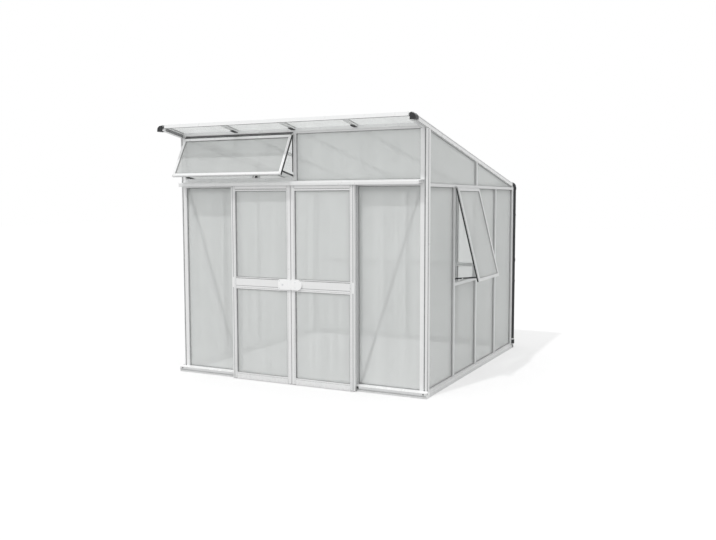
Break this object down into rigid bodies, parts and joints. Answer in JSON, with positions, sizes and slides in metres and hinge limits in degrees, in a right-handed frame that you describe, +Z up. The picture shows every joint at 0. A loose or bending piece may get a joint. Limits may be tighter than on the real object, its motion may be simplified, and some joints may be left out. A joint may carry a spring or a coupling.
{
  "type": "lean-to greenhouse",
  "caption": "Mono-pitch greenhouse of aluminium profile and twin-wall sheet, with sliding double doors, a long front vent, a side window and a rear gutter.",
  "frame": {"origin": "middle of the front wall's outer plane, on the sill's underside", "axes": "+X to the right as seen from the front, +Y to the back, +Z up"},
  "size_m": [2.8228, 3.049, 2.3796],
  "materials": {
    "silver_profile": "satin",
    "white_profile": "satin",
    "twin_wall_sheet": "frosted",
    "black_plastic": "matte",
    "zinc": "satin"
  },
  "bodies": {
    "house": {"door_track": "white_profile", "downpipe": "black_plastic", "front_left_pane": "twin_wall_sheet", "front_left_post": "silver_profile", "front_right_pane": "twin_wall_sheet", "front_right_post": "silver_profile", "front_sill": "silver_profile", "front_top_plate": "silver_profile", "front_upper_pane": "twin_wall_sheet", "left_brace": "silver_profile", "left_door_jamb": "silver_profile", "left_gable_pane_front": "twin_wall_sheet", "left_gable_pane_rear": "twin_wall_sheet", "left_pane_1": "twin_wall_sheet", "left_pane_2": "twin_wall_sheet", "left_pane_3": "twin_wall_sheet", "left_pane_4": "twin_wall_sheet", "left_roof_cap": "black_plastic", "left_roof_edge": "silver_profile", "left_wall_frame": "silver_profile", "rear_gutter": "silver_profile", "rear_left_post": "silver_profile", "rear_pane_1": "twin_wall_sheet", "rear_pane_2": "twin_wall_sheet", "rear_pane_3": "twin_wall_sheet", "rear_pane_4": "twin_wall_sheet", "rear_right_post": "silver_profile", "rear_wall_frame": "silver_profile", "right_brace": "silver_profile", "right_door_jamb": "silver_profile", "right_gable_pane_front": "twin_wall_sheet", "right_gable_pane_rear": "twin_wall_sheet", "right_pane_1": "twin_wall_sheet", "right_pane_2": "twin_wall_sheet", "right_pane_3": "twin_wall_sheet", "right_pane_4": "twin_wall_sheet", "right_roof_cap": "black_plastic", "right_roof_edge": "silver_profile", "right_wall_frame": "silver_profile", "roof_frame": "silver_profile", "roof_pane_1": "twin_wall_sheet", "roof_pane_2": "twin_wall_sheet", "roof_pane_3": "twin_wall_sheet", "roof_pane_4": "twin_wall_sheet"},
    "left_door": {"left_door_frame": "silver_profile", "left_door_upper_pane": "twin_wall_sheet", "left_door_lower_pane": "twin_wall_sheet", "lock_case": "white_profile"},
    "right_door": {"right_door_frame": "silver_profile", "right_door_upper_pane": "twin_wall_sheet", "right_door_lower_pane": "twin_wall_sheet", "lock_keeper": "white_profile"},
    "lock_hook": {"lock_hook": "zinc"},
    "vent": {"vent_sash": "silver_profile", "vent_pane": "twin_wall_sheet"},
    "vent_stay_left": {"vent_stay_left": "silver_profile"},
    "vent_stay_right": {"vent_stay_right": "silver_profile"},
    "window": {"window_sash": "silver_profile", "window_pane": "twin_wall_sheet"},
    "window_stay": {"window_stay": "silver_profile"}
  },
  "joints": [
    {"name": "left_door_slide", "type": "slide", "parent": "house", "child": "left_door", "axis": [1, 0, 0], "range_m": [-0.6, 0]},
    {"name": "right_door_slide", "type": "slide", "parent": "house", "child": "right_door", "axis": [1, 0, 0], "range_m": [0, 0.6]},
    {"name": "lock_hook_turn", "type": "hinge", "parent": "left_door", "child": "lock_hook", "pos_m": [-0.028, -0.0883, 0.93], "axis": [0, 1, 0], "range_deg": [-90, 0]},
    {"name": "vent_hinge", "type": "hinge", "parent": "house", "child": "vent", "pos_m": [-0.612, -0.014, 2.268], "axis": [-1, 0, 0], "range_deg": [-28.9, 16]},
    {"name": "vent_stay_left_pin", "type": "hinge", "parent": "vent", "child": "vent_stay_left", "pos_m": [-1.2, -0.17461, 1.93284], "axis": [1, 0, 0], "range_deg": [-16.34, 9.09]},
    {"name": "vent_stay_right_pin", "type": "hinge", "parent": "vent", "child": "vent_stay_right", "pos_m": [-0.024, -0.17461, 1.93284], "axis": [1, 0, 0], "range_deg": [-16.34, 9.09]},
    {"name": "window_hinge", "type": "hinge", "parent": "house", "child": "window", "pos_m": [1.299, 1, 1.792], "axis": [0, -1, 0], "range_deg": [-13.9, 10]},
    {"name": "window_stay_pin", "type": "hinge", "parent": "window", "child": "window_stay", "pos_m": [1.48518, 1, 0.95416], "axis": [0, 1, 0], "range_deg": [-7.97, 5.76]}
  ],
  "couplings": [
    {"joint": "vent_stay_left_pin", "follows": "vent_hinge", "ratio": 0.562},
    {"joint": "vent_stay_right_pin", "follows": "vent_hinge", "ratio": 0.562},
    {"joint": "window_stay_pin", "follows": "window_hinge", "ratio": 0.566}
  ]
}
